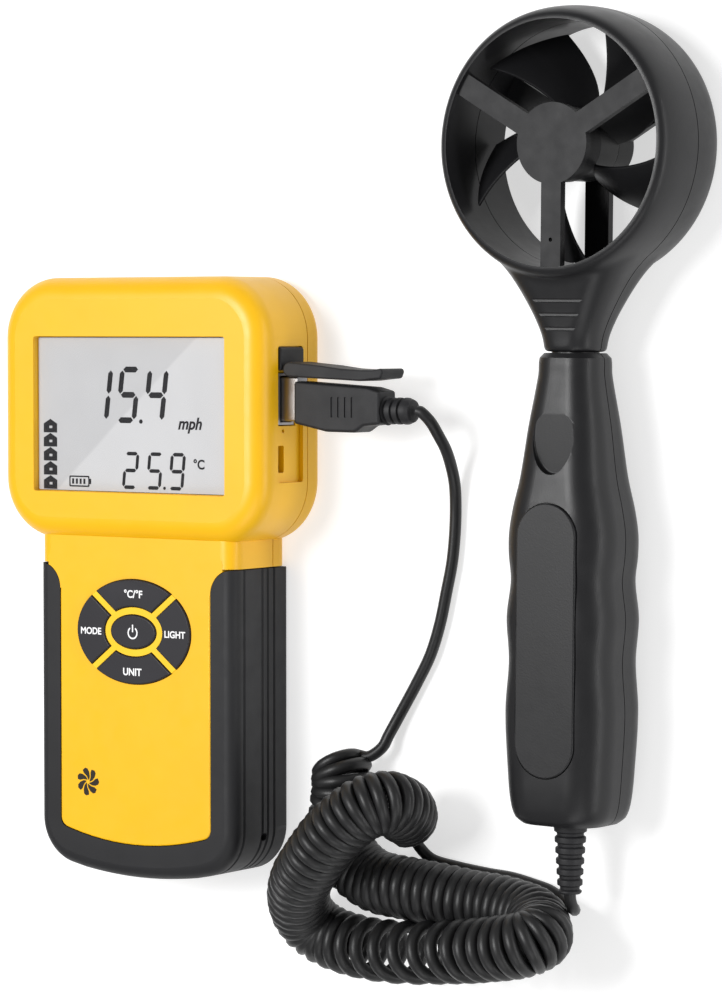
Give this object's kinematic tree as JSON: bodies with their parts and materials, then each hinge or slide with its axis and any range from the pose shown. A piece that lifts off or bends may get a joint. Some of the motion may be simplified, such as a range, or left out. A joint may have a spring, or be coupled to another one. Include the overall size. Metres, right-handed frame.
{
  "type": "vane anemometer",
  "caption": "Handheld air speed meter with a display and an oval keypad, joined by a coiled cord and a plug to a handle that carries a shrouded, freely turning vane.",
  "frame": {"origin": "a point on the centre line of the meter's flat back, where it rests on a table, 82.5 mm up from the bottom of its grip", "axes": "+X to the right across the meter's face, +Y towards the top of the meter, +Z out of the face; the meter and the probe lie on the plane Z = 0"},
  "size_m": [0.2184, 0.2591, 0.0388],
  "materials": {
    "yellow_plastic": "satin moulded",
    "rubber": "matte rubber",
    "black_plastic": "fine matte texture",
    "grey_plastic": "satin moulded",
    "key_plastic": "matte rubber",
    "clear_plastic": "polished clear",
    "display_glass": "grey reflective display",
    "white_plastic": "smooth",
    "circuit_board": "solder mask",
    "steel": "plated",
    "brass": "plain",
    "cord_plastic": "smooth"
  },
  "bodies": {
    "anemometer": {"front_case": "yellow_plastic", "rear_case": "yellow_plastic", "grip_boot": "rubber", "key_mat": "rubber", "battery_wire_left": "rubber", "battery_wire_right": "rubber", "cover_root": "rubber", "usb_plug_relief": "rubber", "cord_sleeve": "rubber", "buzzer": "black_plastic", "processor": "black_plastic", "battery_snap": "black_plastic", "usb_plug_body": "black_plastic", "vane_front_shell": "black_plastic", "vane_rear_shell": "black_plastic", "handle_front_shell": "black_plastic", "handle_rear_shell": "black_plastic", "handle_plate": "black_plastic", "front_spider": "grey_plastic", "rear_spider": "grey_plastic", "lcd_window": "clear_plastic", "lcd_glass": "display_glass", "backlight_guide": "white_plastic", "usb_plug_contacts": "white_plastic", "main_board": "circuit_board", "speed_sensor": "circuit_board", "battery": "steel", "usb_port": "steel", "usb_plug_shell": "steel", "case_screw_1": "steel", "case_screw_2": "steel", "case_screw_3": "steel", "case_screw_4": "steel", "handle_screw_1": "steel", "handle_screw_2": "steel", "front_bearing": "brass", "rear_bearing": "brass", "temperature_sensor": "brass", "plug_lead": "cord_plastic", "cord_coil": "cord_plastic", "probe_lead": "cord_plastic"},
    "vane_rotor": {"rotor": "black_plastic", "rotor_shaft": "steel"},
    "power_key": {"power_button": "key_plastic"},
    "light_key": {"light_button": "key_plastic"},
    "temperature_key": {"temperature_button": "key_plastic"},
    "mode_key": {"mode_button": "key_plastic"},
    "unit_key": {"unit_button": "key_plastic"},
    "port_flap": {"port_cover": "rubber"},
    "battery_lid": {"battery_door": "yellow_plastic"}
  },
  "joints": [
    {"name": "vane_spin", "type": "hinge", "parent": "anemometer", "child": "vane_rotor", "pos_m": [0.13661, 0.11539, 0.014], "axis": [0, 0, 1], "continuous": true},
    {"name": "power_press", "type": "slide", "parent": "anemometer", "child": "power_key", "axis": [0, 0, -1], "range_m": [0, 0.0006], "stiffness_N_per_m": 400, "springref_m": -0.0003},
    {"name": "light_press", "type": "slide", "parent": "anemometer", "child": "light_key", "axis": [0, 0, -1], "range_m": [0, 0.0006], "stiffness_N_per_m": 400, "springref_m": -0.0003},
    {"name": "temperature_press", "type": "slide", "parent": "anemometer", "child": "temperature_key", "axis": [0, 0, -1], "range_m": [0, 0.0006], "stiffness_N_per_m": 400, "springref_m": -0.0003},
    {"name": "mode_press", "type": "slide", "parent": "anemometer", "child": "mode_key", "axis": [0, 0, -1], "range_m": [0, 0.0006], "stiffness_N_per_m": 400, "springref_m": -0.0003},
    {"name": "unit_press", "type": "slide", "parent": "anemometer", "child": "unit_key", "axis": [0, 0, -1], "range_m": [0, 0.0006], "stiffness_N_per_m": 400, "springref_m": -0.0003},
    {"name": "flap_swing", "type": "hinge", "parent": "anemometer", "child": "port_flap", "pos_m": [0.0493, 0.0573, 0.0154], "axis": [0, 0, 1], "range_deg": [0, 75]},
    {"name": "lid_slide", "type": "slide", "parent": "anemometer", "child": "battery_lid", "axis": [0, -1, 0], "range_m": [0, 0.012]}
  ]
}
